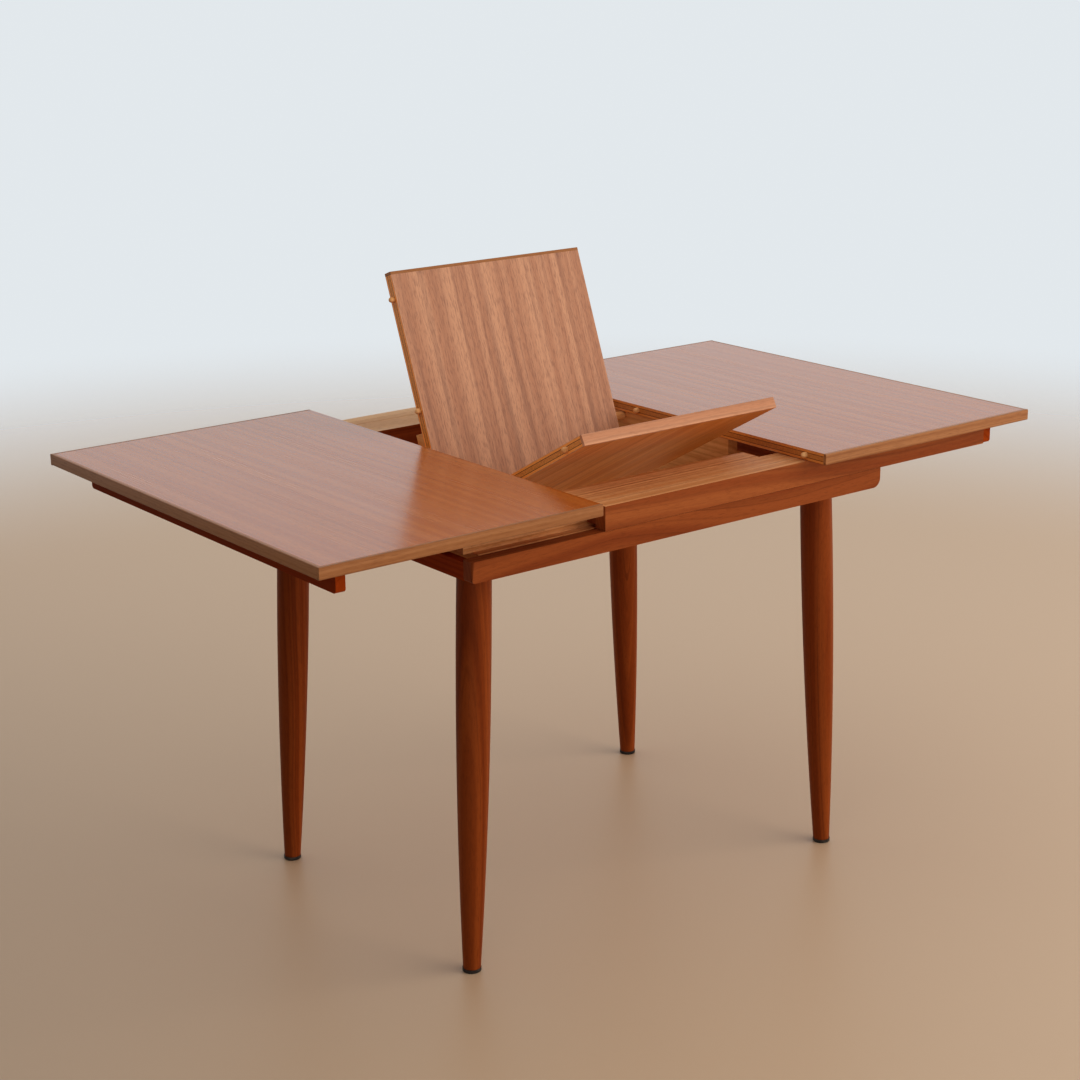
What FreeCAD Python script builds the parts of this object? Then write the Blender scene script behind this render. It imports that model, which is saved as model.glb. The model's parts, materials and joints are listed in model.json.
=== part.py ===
import FreeCAD, Part
# Butterfly-leaf extension table: base, two sliding top halves and a folding centre leaf.
#
# Millimetres, +Z up.  The origin is on the floor under the middle of the four legs, X runs
# along the table and Y towards its back.  The halves are drawn out and the leaf is half open.
import math
import os

import Sketcher
from FreeCAD import Placement, Rotation, Vector

DIMENSIONS = (
    ("top_height", 750.0, "floor to top surface"),
    ("top_thick", 18.0, "top halves"),
    ("top_length", 484.0, "each half along X"),
    ("top_width", 798.0, "along Y"),
    ("lip_thick", 5.0, "solid edge lipping"),
    ("left_draw", 226.5, "left half's inner edge from the centre"),
    ("right_draw", 226.5, "right half's inner edge from the centre"),
    ("rail_inset", 39.5, "top edge to rail face"),
    ("facing_thick", 22.0, "long rails"),
    ("slide_thick", 21.0, "slide boards behind the upper rails"),
    ("guide_thick", 27.0, "fixed guide rails"),
    ("runner_thick", 38.5, "runners of the left half"),
    ("slide_gap", 0.5, "between sliding faces"),
    ("upper_deep", 39.0, "upper rails and end rails"),
    ("rail_gap", 0.3, "upper rail above lower rail"),
    ("lower_deep", 32.0, "lower rails"),
    ("nose_rad", 15.0, "lower rails' rounded corner at the right"),
    ("heel_rad", 4.0, "lower rails' rounded corner at the left"),
    ("end_nose", 6.0, "end rails' rounded lower corners"),
    ("edge_ease", 1.5, "eased edges of the tops and glides"),
    ("base_left", 433.5, "base end left of the centre"),
    ("base_right", 394.0, "base end right of the centre"),
    ("bearer_deep", 28.0, "cross bearers"),
    ("bearer_in", 45.0, "leg axis to the leg bearer's inner edge"),
    ("bearer_out", 26.0, "leg axis to the leg bearer's outer edge"),
    ("base_end_thick", 15.0, "short rails of the base"),
    ("guide_screw_out", 20.0, "guide screws outside the leg axis"),
    ("guide_screw_up", 3.0, "guide screw heads above the bearers' underside"),
    ("guide_screw_long", 42.0, "guide screws"),
    ("top_screw_in", 6.0, "top screws from the runner's underside and the top surface"),
    ("runner_screw_in", 17.25, "runner screws from the runner's inner face"),
    ("slide_screw_in", 13.0, "slide board screws from the board's inner face"),
    ("end_thick", 16.0, "end rails of the halves"),
    ("left_end", 661.0, "left end rail's outer face from the centre"),
    ("right_end", 662.0, "right end rail's outer face from the centre"),
    ("pass_gap", 0.4, "boards under the other half as it slides over them"),
    ("rail_start", 190.0, "upper rails start left of the centre"),
    ("runner_stop", 187.0, "runners stop right of the centre"),
    ("runner_deep", 35.0, "runner height"),
    ("guide_start", 402.0, "guides start left of the centre"),
    ("guide_stop", 380.0, "guides stop right of the centre"),
    ("guide_top", 0.5, "guide below the tops"),
    ("guide_lip", 3.0, "guide's foot ledge height"),
    ("guide_foot", 15.0, "guide's foot ledge beyond its outer face"),
    ("end_block_long", 16.0, "end blocks of the guides"),
    ("end_block_lift", 2.5, "end blocks above the guides' underside"),
    ("end_block_tall", 34.0, "end blocks of the guides"),
    ("slide_lift", 6.0, "slide board above the lower rail"),
    ("tongue_low", 13.0, "tops' underside to the tongue's lower face"),
    ("tongue_tall", 6.0, "guide tongues"),
    ("tongue_out", 6.0, "guide tongues"),
    ("fit_gap", 0.05, "glued and screwed fits"),
    ("leg_x", 352.9, "leg axis at the plate"),
    ("leg_y", 252.9, "leg axis at the plate"),
    ("foot_x", 380.2, "leg axis at the floor"),
    ("foot_y", 263.6, "leg axis at the floor"),
    ("leg_top_rad", 26.0, "leg radius under the plate"),
    ("leg_foot_rad", 13.8, "leg radius at the glide"),
    ("leg_swell", 5.2, "bow of the leg's outline"),
    ("glide_rad", 14.8, "glides"),
    ("glide_tall", 6.0, "glides"),
    ("plate_side", 60.0, "leg plates"),
    ("plate_thick", 2.5, "leg plates"),
    ("plate_screw_in", 7.0, "plate screws from the plate's edges"),
    ("plate_screw_long", 20.0, "plate screws"),
    ("bolt_well", 2.0, "room round the bolt's upper end"),
    ("bolt_play", 0.4, "bolt in the leg plate"),
    ("bolt_rad", 4.0, "leg bolts"),
    ("bolt_in_leg", 40.0, "leg bolts"),
    ("bolt_above", 12.0, "leg bolts above the plate"),
    ("leaf_wide", 390.0, "centre leaf along X"),
    ("leaf_thick", 17.6, "leaf panels"),
    ("leaf_half", 398.8, "hinge line to free edge"),
    ("leaf_ease", 1.0, "eased free edges of the leaf"),
    ("hinge_lift", 0.2, "hinge axis above the leaf's faces"),
    ("hinge_gap", 0.3, "panel edge from the hinge axis"),
    ("pivot_back", 99.7, "pivot axis behind the centre line"),
    ("pivot_drop", 26.0, "pivot axis under the top surface"),
    ("back_tilt", 69.2, "rear panel from level, degrees"),
    ("front_tilt", 28.8, "front panel from level, degrees"),
    ("trunnion_rad", 7.0, "leaf pivot pins"),
    ("saddle_gap", 0.1, "pivot pin in its slot"),
    ("block_thick", 30.0, "pivot blocks along X"),
    ("block_long", 64.0, "pivot blocks across the pivot"),
    ("block_deep", 18.0, "pivot blocks"),
    ("block_screw_out", 21.0, "pivot block screws from the pivot axis"),
    ("block_screw_up", 2.0, "pivot block screw heads above the block's face"),
    ("block_screw_long", 25.0, "pivot block screws"),
    ("cheek_x", 229.0, "leaf bearers' inner faces"),
    ("cheek_thick", 21.0, "leaf bearers"),
    ("cheek_reach", 171.0, "raised part of the leaf bearers"),
    ("cheek_drop", 18.5, "raised part under the top surface"),
    ("cheek_dip", 27.0, "middle of the leaf bearers under the rails"),
    ("cheek_belly", 225.0, "deep middle of the leaf bearers"),
    ("cheek_slope", 30.0, "slope beside the deep middle"),
    ("dowel_rad", 4.5, "alignment dowels"),
    ("dowel_out", 9.0, "dowel beyond the edge"),
    ("dowel_in", 20.0, "dowel in the panel"),
    ("socket_rad", 4.9, "dowel sockets"),
    ("socket_deep", 11.0, "dowel sockets"),
    ("dowel_far", 354.0, "outer dowels from the centre line"),
    ("dowel_leaf", 168.0, "leaf's inner dowels"),
    ("dowel_top", 56.0, "right half's inner dowels"),
    ("hinge_long", 40.0, "hinges"),
    ("hinge_pitch", 140.0, "hinge spacing"),
    ("hinge_plate", 1.2, "hinge leaf thickness"),
    ("hinge_deep", 14.0, "hinge leaf height"),
    ("hinge_screw_rad", 1.0, "hinge screws"),
    ("hinge_screw_long", 10.0, "hinge screws"),
    ("knuckle_rad", 2.2, "hinge knuckles"),
    ("pin_rad", 1.0, "hinge pins"),
    ("screw_rad", 2.0, "wood screws"),
    ("head_rad", 4.0, "screw heads"),
    ("head_tall", 3.0, "screw heads"),
)

doc = FreeCAD.newDocument("extension_table")
sheet = doc.addObject("Spreadsheet::Sheet", "dims")
sub_parts = []


class Size:
    """A length with its value and the spreadsheet expression that gives it."""

    def __init__(self, value, text):
        self.value = value
        self.text = text

    def __add__(self, other):
        other = as_size(other)
        return Size(self.value + other.value, f"({self.text} + {other.text})")

    def __sub__(self, other):
        other = as_size(other)
        return Size(self.value - other.value, f"({self.text} - {other.text})")

    def __mul__(self, other):
        other = as_size(other)
        return Size(self.value * other.value, f"({self.text} * {other.text})")

    def __truediv__(self, other):
        other = as_size(other)
        return Size(self.value / other.value, f"({self.text} / {other.text})")

    def __rmul__(self, other):
        return as_size(other) * self

    def __neg__(self):
        return Size(-self.value, f"(0 - {self.text})")


def as_size(number):
    """Return a Size for a Size or a plain number."""
    if isinstance(number, Size):
        return number
    return Size(float(number), f"({number:g})")


def fill_sheet():
    """Write every driving dimension into the spreadsheet and return them by alias."""
    cells = {}
    for row, (alias, value, note) in enumerate(DIMENSIONS, start=1):
        sheet.set(f"A{row}", note)
        sheet.set(f"B{row}", f"{value:g}")
        sheet.setAlias(f"B{row}", alias)
        cells[alias] = Size(value, f"dims.{alias}")
    doc.recompute()
    return cells


def bind(item, **sizes):
    """Bind properties of a document object to spreadsheet expressions."""
    for path, size in sizes.items():
        item.setExpression(path, as_size(size).text)
    return item


def place(item, x=0, y=0, z=0):
    """Bind an object's position."""
    for axis, size in zip("xyz", (x, y, z)):
        item.setExpression(f"Placement.Base.{axis}", as_size(size).text)
    return item


def keep(item, label):
    """Name a finished sub-part and list it for export."""
    item.Label = label
    sub_parts.append(item)
    return item


# ---------------------------------------------------------------- primitives and booleans

def block(name, x, y, z):
    """A box between pairs of limits on X, Y and Z."""
    item = doc.addObject("Part::Box", name)
    bind(item, Length=as_size(x[1]) - x[0], Width=as_size(y[1]) - y[0], Height=as_size(z[1]) - z[0])
    return place(item, x[0], y[0], z[0])


TURN = {
    "+x": Rotation(Vector(0, 1, 0), 90),
    "-x": Rotation(Vector(0, 1, 0), -90),
    "+y": Rotation(Vector(1, 0, 0), -90),
    "-y": Rotation(Vector(1, 0, 0), 90),
    "+z": Rotation(),
}


def bar(name, radius, length):
    """A round bar standing on its own origin."""
    item = doc.addObject("Part::Cylinder", name)
    return bind(item, Radius=radius, Height=length)


def rod(name, radius, length, start, way="+z"):
    """A round bar from a start point along an axis direction."""
    item = bar(name, radius, length)
    item.Placement = Placement(Vector(), TURN[way])
    return place(item, *start)


def ball(name, radius, centre):
    """A full sphere."""
    item = doc.addObject("Part::Sphere", name)
    bind(item, Radius=radius)
    return place(item, *centre)


def join(name, items):
    """Fuse touching pieces into one solid."""
    item = doc.addObject("Part::MultiFuse", name)
    item.Shapes = items
    return item


def gather(name, items):
    """Hold separate solids in one object."""
    item = doc.addObject("Part::Compound", name)
    item.Links = items
    return item


def carve(name, base, cutters):
    """Take cutters that don't meet each other out of a base."""
    item = doc.addObject("Part::Cut", name)
    item.Base = base
    item.Tool = gather(name + "_cutters", cutters)
    return item


def soften(name, base, radius, wanted):
    """Round the edges of a base whose bounding box passes a test."""
    doc.recompute()
    picked = [
        (index, radius.value, radius.value)
        for index, edge in enumerate(base.Shape.Edges, start=1)
        if wanted(edge.BoundBox)
    ]
    item = doc.addObject("Part::Fillet", name)
    item.Base = base
    item.Edges = picked
    return item


# ---------------------------------------------------------------- PartDesign bodies

PLANES = {"xy": "XY_Plane", "xz": "XZ_Plane", "yz": "YZ_Plane"}


def start_sketch(body, plane, name):
    """A sketch on one of the body's own origin planes."""
    sketch = body.newObject("Sketcher::SketchObject", name)
    faces = [item for item in body.Origin.OriginFeatures if item.Role == PLANES[plane]]
    sketch.AttachmentSupport = [(faces[0], "")]
    sketch.MapMode = "FlatFace"
    return sketch


def pin_point(sketch, edge, end, name, u, v):
    """Tie one end of a sketch edge to sheet-driven coordinates."""
    for kind, size in (("DistanceX", as_size(u)), ("DistanceY", as_size(v))):
        index = sketch.addConstraint(Sketcher.Constraint(kind, -1, 1, edge, end, size.value))
        tag = f"{name}{kind[-1]}"
        sketch.renameConstraint(index, tag)
        sketch.setExpression(f"Constraints.{tag}", size.text)


def draw_polygon(sketch, points):
    """A closed outline of straight edges through the points."""
    corners = [Vector(as_size(u).value, as_size(v).value, 0) for u, v in points]
    count = len(corners)
    for index in range(count):
        line = Part.LineSegment(corners[index], corners[(index + 1) % count])
        sketch.addGeometry(line, False)
    for index, (u, v) in enumerate(points):
        previous = (index - 1) % count
        sketch.addConstraint(Sketcher.Constraint("Coincident", previous, 2, index, 1))
        pin_point(sketch, index, 1, f"corner{index}", u, v)


def extrude(name, plane, points, start, end):
    """A body padded between two stations along the normal of its sketch plane."""
    body = doc.addObject("PartDesign::Body", name)
    sketch = start_sketch(body, plane, name + "_outline")
    draw_polygon(sketch, points)
    pad = body.newObject("PartDesign::Pad", name + "_pad")
    pad.Profile = sketch
    pad.Reversed = plane == "xz"
    bind(pad, Length=as_size(end) - start)
    axis = {"xy": "z", "xz": "y", "yz": "x"}[plane]
    place(body, **{axis: start})
    doc.recompute()
    return body


def round_body(body, name, radius, wanted):
    """Fillet the edges of a body's tip whose bounding box passes a test."""
    tip = body.Tip
    names = [
        f"Edge{index}"
        for index, edge in enumerate(tip.Shape.Edges, start=1)
        if wanted(edge.BoundBox)
    ]
    fillet = body.newObject("PartDesign::Fillet", name)
    fillet.Base = (tip, names)
    bind(fillet, Radius=radius)
    doc.recompute()
    return body


def along(axis, **near):
    """A test for edges along an axis whose other limits are near given values."""
    def wanted(box):
        spans = {"x": box.XLength, "y": box.YLength, "z": box.ZLength}
        if max(spans, key=spans.get) != axis:
            return False
        middles = {"x": box.Center.x, "y": box.Center.y, "z": box.Center.z}
        return all(abs(middles[key] - as_size(size).value) < 0.5 for key, size in near.items())
    return wanted


# ---------------------------------------------------------------- levels and stations

d = fill_sheet()

TOP = d["top_height"]
UNDER = TOP - d["top_thick"]
UPPER_LOW = UNDER - d["upper_deep"] + d["rail_gap"]
LOWER_TOP = UNDER - d["upper_deep"]
LOWER_LOW = LOWER_TOP - d["lower_deep"]
BEARER_TOP = LOWER_LOW + d["bearer_deep"]
PLATE_LOW = LOWER_LOW - d["plate_thick"]
TONGUE_LOW = UNDER - d["tongue_low"]
TONGUE_HIGH = TONGUE_LOW + d["tongue_tall"]
DOWEL_Z = TOP - d["top_thick"] / 2

HALF_WIDE = d["top_width"] / 2
RAIL_OUT = HALF_WIDE - d["rail_inset"]
RAIL_IN = RAIL_OUT - d["facing_thick"]
SLIDE_IN = RAIL_IN - d["slide_thick"]
GUIDE_OUT = SLIDE_IN - d["slide_gap"]
GUIDE_IN = GUIDE_OUT - d["guide_thick"]
RUNNER_OUT = GUIDE_IN - d["slide_gap"]
RUNNER_IN = RUNNER_OUT - d["runner_thick"]

LEAF_X = d["leaf_wide"] / 2
CHEEK_OUT = d["cheek_x"] + d["cheek_thick"]
BEYOND = 1
SIDES = {"front": -1, "back": 1}
ENDS = {"left": -1, "right": 1}


def span(side, near, far):
    """Limits in rising order, mirrored to the side with sign -1 or +1."""
    if side > 0:
        return (as_size(near), as_size(far))
    return (-as_size(far), -as_size(near))


def mirror(side, size):
    """A coordinate on the side with sign -1 or +1."""
    return side * as_size(size)


def screw_up(name, x, y, low, length):
    """A countersunk-style wood screw driven upwards: head below, shank above."""
    head = rod(name + "_head", d["head_rad"], d["head_tall"], (x, y, low))
    shank = rod(name + "_shank", d["screw_rad"], as_size(length) - d["head_tall"],
                (x, y, as_size(low) + d["head_tall"]))
    return join(name, [head, shank])


def screw_hole(name, x, y, low, length, mouth):
    """The clearance round a screw driven upwards, with a counterbore down to the mouth."""
    gap = d["fit_gap"]
    bore = rod(name + "_bore", d["head_rad"] + gap, as_size(low) + d["head_tall"] + gap - mouth,
               (x, y, mouth))
    shank = rod(name + "_hole", d["screw_rad"] + gap, as_size(length) + gap,
                (x, y, low))
    return join(name, [bore, shank])


# ---------------------------------------------------------------- base

def make_base_rails():
    """The two long lower rails, with a rounded lower corner at the right end."""
    for name, side in SIDES.items():
        outline = (
            (-d["base_left"], LOWER_LOW), (d["base_right"], LOWER_LOW),
            (d["base_right"], LOWER_TOP), (-d["base_left"], LOWER_TOP),
        )
        y = span(side, RAIL_IN, RAIL_OUT)
        body = extrude(f"base_rail_{name}", "xz", outline, *y)
        round_body(body, f"rail_nose_{name}", d["nose_rad"],
                   along("y", x=d["base_right"], z=LOWER_LOW))
        round_body(body, f"rail_heel_{name}", d["heel_rad"],
                   along("y", x=-d["base_left"], z=LOWER_LOW))
        keep(body, f"base_rail_{name}")


def make_base_ends():
    """The short rails that close the base between the long rails."""
    gap = d["fit_gap"]
    limits = {
        "left": (-d["base_left"], d["base_end_thick"] - d["base_left"]),
        "right": (d["base_right"] - d["base_end_thick"], d["base_right"]),
    }
    for name, (start, end) in limits.items():
        outline = (
            (gap - RAIL_IN, LOWER_LOW), (RAIL_IN - gap, LOWER_LOW),
            (RAIL_IN - gap, BEARER_TOP), (gap - RAIL_IN, BEARER_TOP),
        )
        body = extrude(f"base_end_{name}", "yz", outline, start, end)
        keep(body, f"base_end_{name}")


def guide_outline(side):
    """Section of a guide rail: foot ledge outside, a tongue on each face."""
    high = UNDER - d["guide_top"]
    ledge = BEARER_TOP + d["guide_lip"]
    foot = GUIDE_OUT + d["guide_foot"]
    out = d["tongue_out"]
    points = (
        (foot, BEARER_TOP), (GUIDE_IN, BEARER_TOP),
        (GUIDE_IN, TONGUE_LOW), (GUIDE_IN - out, TONGUE_LOW),
        (GUIDE_IN - out, TONGUE_HIGH), (GUIDE_IN, TONGUE_HIGH),
        (GUIDE_IN, high), (GUIDE_OUT, high),
        (GUIDE_OUT, TONGUE_HIGH), (GUIDE_OUT + out, TONGUE_HIGH),
        (GUIDE_OUT + out, TONGUE_LOW), (GUIDE_OUT, TONGUE_LOW),
        (GUIDE_OUT, ledge), (foot, ledge),
    )
    return [(mirror(side, y), z) for y, z in points]


def guide_screw_places(side):
    """Where the guide is screwed to the four cross bearers."""
    y = mirror(side, (GUIDE_OUT + GUIDE_IN) / 2)
    cheek = d["cheek_x"] + d["cheek_thick"] / 2
    leg = d["leg_x"] + d["guide_screw_out"]
    return [(x, y) for x in (-leg, -cheek, cheek, leg)]


GUIDE_SCREW_LOW = LOWER_LOW + d["guide_screw_up"]


def make_guides():
    """Fixed guide rails with tongues that both sliding halves run on, and their screws."""
    screws = []
    for name, side in SIDES.items():
        body = extrude(f"guide_{name}_blank", "yz", guide_outline(side),
                       -d["guide_start"], d["guide_stop"])
        holes = []
        for index, (x, y) in enumerate(guide_screw_places(side)):
            tag = f"guide_{name}{index}"
            long = d["guide_screw_long"]
            holes.append(screw_hole(tag + "_hole", x, y, GUIDE_SCREW_LOW, long, LOWER_LOW))
            screws.append(screw_up(tag + "_screw", x, y, GUIDE_SCREW_LOW, long))
        keep(carve(f"guide_rail_{name}", body, holes), f"guide_rail_{name}")
    keep(gather("guide_screws", screws), "guide_screws")


def make_end_blocks():
    """Small blocks glued to the left ends of the guides."""
    low = BEARER_TOP + d["end_block_lift"]
    right = -d["guide_start"] - d["fit_gap"]
    for name, side in SIDES.items():
        piece = block(f"end_block_{name}", (right - d["end_block_long"], right),
                      span(side, GUIDE_IN, GUIDE_OUT), (low, low + d["end_block_tall"]))
        keep(piece, f"guide_block_{name}")


def bearer_holes(tag, x):
    """Guide screw holes of the cross bearer at one station along X."""
    holes = []
    for name, side in SIDES.items():
        y = mirror(side, (GUIDE_OUT + GUIDE_IN) / 2)
        holes.append(screw_hole(f"{tag}_{name}", x, y, GUIDE_SCREW_LOW, d["guide_screw_long"],
                                LOWER_LOW))
    return holes


def make_leg_bearers():
    """Cross boards that carry the leg plates."""
    gap = d["fit_gap"]
    for name, end in ENDS.items():
        x = span(end, d["leg_x"] - d["bearer_in"], d["leg_x"] + d["bearer_out"])
        blank = block(f"leg_bearer_{name}_blank", x, (gap - RAIL_IN, RAIL_IN - gap),
                      (LOWER_LOW, BEARER_TOP))
        guide_x = mirror(end, d["leg_x"] + d["guide_screw_out"])
        cutters = bearer_holes(f"leg_bearer_{name}_guide", guide_x)
        for side_name, side in SIDES.items():
            tag = f"leg_bearer_{name}_{side_name}"
            cutters.append(rod(tag + "_well", d["bolt_rad"] + d["bolt_well"],
                               d["bolt_above"] + d["bolt_well"],
                               (mirror(end, d["leg_x"]), mirror(side, d["leg_y"]), LOWER_LOW)))
            pilot = d["plate_screw_long"] - d["head_tall"] - d["plate_thick"] + BEYOND
            for index, (x_at, y_at) in enumerate(plate_screws(end, side)):
                cutters.append(rod(f"{tag}_pilot{index}", d["screw_rad"] + gap, pilot,
                                   (x_at, y_at, LOWER_LOW)))
        keep(carve(f"leg_bearer_{name}", blank, cutters), f"leg_bearer_{name}")


def plate_screws(end, side):
    """Screw centres near the corners of a leg plate."""
    reach = d["plate_side"] / 2 - d["plate_screw_in"]
    return [
        (mirror(end, d["leg_x"]) + dx * reach, mirror(side, d["leg_y"]) + dy * reach)
        for dx in (-1, 1) for dy in (-1, 1)
    ]


def bearer_outline():
    """Side view of a leaf bearer: raised and deep in the middle, low under the runners."""
    wide = RAIL_IN - d["fit_gap"]
    reach = d["cheek_reach"]
    belly = d["cheek_belly"]
    high = TOP - d["cheek_drop"]
    half = ((belly, LOWER_LOW - d["cheek_dip"]), (belly + d["cheek_slope"], LOWER_LOW),
            (wide, LOWER_LOW), (wide, BEARER_TOP), (reach, BEARER_TOP), (reach, high))
    return half + tuple((-y, z) for y, z in reversed(half))


def pin_slot(name, start, end):
    """The slot, open at the top, that a pivot pin drops into."""
    radius = d["trunnion_rad"] + d["saddle_gap"]
    level = TOP - d["pivot_drop"]
    x = (start - BEYOND, end + BEYOND)
    seat = rod(name + "_seat", radius, x[1] - x[0], (x[0], d["pivot_back"], level), "+x")
    throat = block(name + "_throat", x, (d["pivot_back"] - radius, d["pivot_back"] + radius),
                   (level, TOP - d["cheek_drop"] + BEYOND))
    return join(name, [seat, throat])


def make_leaf_bearers():
    """Boards beside the leaf that carry its pivot pins."""
    for name, end in ENDS.items():
        start, stop = span(end, d["cheek_x"], CHEEK_OUT)
        body = extrude(f"leaf_bearer_{name}_blank", "yz", bearer_outline(), start, stop)
        cutters = [pin_slot(f"leaf_bearer_{name}_slot", start, stop)]
        cutters += bearer_holes(f"leaf_bearer_{name}_guide", (start + stop) / 2)
        keep(carve(f"leaf_bearer_{name}", body, cutters), f"leaf_bearer_{name}")


# ---------------------------------------------------------------- legs

LEG_SPARE = 3
LEG_ROOM = as_size(500)


def leg_frame(end, side):
    """Placement whose Z axis is the leg's axis and whose origin is on it at plate level."""
    foot = Vector(end * d["foot_x"].value, side * d["foot_y"].value, 0)
    head = Vector(end * d["leg_x"].value, side * d["leg_y"].value, PLATE_LOW.value)
    return Placement(head, Rotation(Vector(0, 0, 1), head - foot))


def draw_leg(sketch):
    """Half section of a leg: bolt bore at the top, one long bowed flank."""
    bore = d["bolt_rad"] + d["fit_gap"]
    head = as_size(LEG_SPARE)
    foot = d["glide_tall"] - PLATE_LOW - LEG_SPARE
    points = ((0, foot), (0, -d["bolt_in_leg"]), (bore, -d["bolt_in_leg"]), (bore, head),
              (d["leg_top_rad"], head), (d["leg_foot_rad"], foot))
    corners = [Vector(as_size(u).value, as_size(v).value, 0) for u, v in points]
    for first, second in zip(corners[:4], corners[1:5]):
        sketch.addGeometry(Part.LineSegment(first, second), False)
    length = head - foot
    sag = d["leg_swell"]
    middle = (corners[4] + corners[5]) / 2 + Vector(sag.value, 0, 0)
    sketch.addGeometry(Part.Arc(corners[5], middle, corners[4]), False)
    sketch.addGeometry(Part.LineSegment(corners[5], corners[0]), False)
    for first, second in ((0, 1), (1, 2), (2, 3)):
        sketch.addConstraint(Sketcher.Constraint("Coincident", first, 2, second, 1))
    sketch.addConstraint(Sketcher.Constraint("Coincident", 3, 2, 4, 2))
    sketch.addConstraint(Sketcher.Constraint("Coincident", 4, 1, 5, 1))
    sketch.addConstraint(Sketcher.Constraint("Coincident", 5, 2, 0, 1))
    for index in range(4):
        pin_point(sketch, index, 1, f"corner{index}", *points[index])
    pin_point(sketch, 3, 2, "shoulder", *points[4])
    pin_point(sketch, 5, 1, "toe", *points[5])
    bow = sketch.addConstraint(Sketcher.Constraint("Radius", 4, length.value))
    sketch.renameConstraint(bow, "bow")
    radius = length * length / (8 * sag) + sag / 2
    sketch.setExpression("Constraints.bow", radius.text)


def turn_leg(name):
    """A turned leg on its own axis, a little long at both ends."""
    body = doc.addObject("PartDesign::Body", name)
    sketch = start_sketch(body, "xz", name + "_outline")
    draw_leg(sketch)
    turning = body.newObject("PartDesign::Revolution", name + "_turning")
    turning.Profile = sketch
    turning.ReferenceAxis = (sketch, ["V_Axis"])
    turning.Angle = 360
    doc.recompute()
    return body


def make_leg(tag, frame):
    """A splayed leg cut level at its plate and its glide."""
    turned = turn_leg(f"leg_{tag}_turned")
    turned.Placement = frame
    room = block(f"leg_{tag}_room", (-LEG_ROOM, LEG_ROOM), (-LEG_ROOM, LEG_ROOM),
                 (d["glide_tall"], PLATE_LOW))
    leg = doc.addObject("Part::Common", f"leg_{tag}")
    leg.Base = turned
    leg.Tool = room
    keep(leg, f"leg_{tag}")


def make_glide(tag, x, y):
    """A flat round glide under a foot."""
    disc = rod(f"glide_{tag}_disc", d["glide_rad"], d["glide_tall"], (x, y, 0))
    middle = d["glide_tall"].value / 2
    keep(soften(f"glide_{tag}", disc, d["edge_ease"], lambda box: box.ZMax < middle), f"glide_{tag}")


def make_bolt(tag, frame):
    """The bolt that stands out of a leg's top, on the leg's axis."""
    bolt = bar(f"leg_bolt_{tag}", d["bolt_rad"], d["bolt_in_leg"] + d["bolt_above"])
    bolt.Placement = frame.multiply(Placement(Vector(0, 0, -d["bolt_in_leg"].value), Rotation()))
    return bolt


def make_plate(tag, end, side):
    """The steel plate between a leg and its bearer, and its screws."""
    x_mid = mirror(end, d["leg_x"])
    y_mid = mirror(side, d["leg_y"])
    reach = d["plate_side"] / 2
    low = PLATE_LOW - BEYOND
    through = d["plate_thick"] + 2 * BEYOND
    sheet_steel = block(f"plate_{tag}_blank", (x_mid - reach, x_mid + reach),
                        (y_mid - reach, y_mid + reach), (PLATE_LOW, LOWER_LOW))
    holes = [rod(f"plate_{tag}_eye", d["bolt_rad"] + d["bolt_play"], through, (x_mid, y_mid, low))]
    screws = []
    for index, (x, y) in enumerate(plate_screws(end, side)):
        holes.append(rod(f"plate_{tag}_hole{index}", d["screw_rad"] + d["fit_gap"], through,
                         (x, y, low)))
        screws.append(screw_up(f"plate_{tag}_screw{index}", x, y, PLATE_LOW - d["head_tall"],
                               d["plate_screw_long"]))
    return carve(f"plate_{tag}", sheet_steel, holes), screws


def make_legs():
    """Four legs with their glides, plates, bolts and screws."""
    plates = []
    bolts = []
    screws = []
    for end_name, end in ENDS.items():
        for side_name, side in SIDES.items():
            tag = f"{side_name}_{end_name}"
            frame = leg_frame(end, side)
            make_leg(tag, frame)
            make_glide(tag, mirror(end, d["foot_x"]), mirror(side, d["foot_y"]))
            bolts.append(make_bolt(tag, frame))
            plate, fixings = make_plate(tag, end, side)
            plates.append(plate)
            screws += fixings
    keep(gather("leg_plates", plates), "leg_plates")
    keep(gather("leg_bolts", bolts), "leg_bolts")
    keep(gather("leg_plate_screws", screws), "leg_plate_screws")


# ---------------------------------------------------------------- top halves

def make_lipping(half, outer, inner):
    """Solid lipping on the front, back and outer edges of one half."""
    thick = d["lip_thick"]
    gap = d["fit_gap"]
    z = (UNDER, TOP)
    low_x, high_x = sorted((outer, inner), key=lambda size: size.value)
    for name, side in SIDES.items():
        y = span(side, HALF_WIDE - thick, HALF_WIDE)
        strip = block(f"{half}_lipping_{name}_strip", (low_x, high_x), y, z)
        edge_y = mirror(side, HALF_WIDE)
        eased = soften(f"{half}_lipping_{name}", strip, d["edge_ease"], along("x", y=edge_y))
        keep(eased, f"{half}_lipping_{name}")
    sign = 1 if outer.value > 0 else -1
    inside = outer - sign * thick
    x = sorted((outer, inside), key=lambda size: size.value)
    strip = block(f"{half}_lipping_end_strip", x,
                  (thick + gap - HALF_WIDE, HALF_WIDE - thick - gap), z)
    eased = soften(f"{half}_lipping_end", strip, d["edge_ease"], along("y", x=outer))
    keep(eased, f"{half}_lipping_end")


LEFT_SCREW_X = (-600, -430, -265)
RIGHT_SCREW_X = (270, 440, 610)


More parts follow.
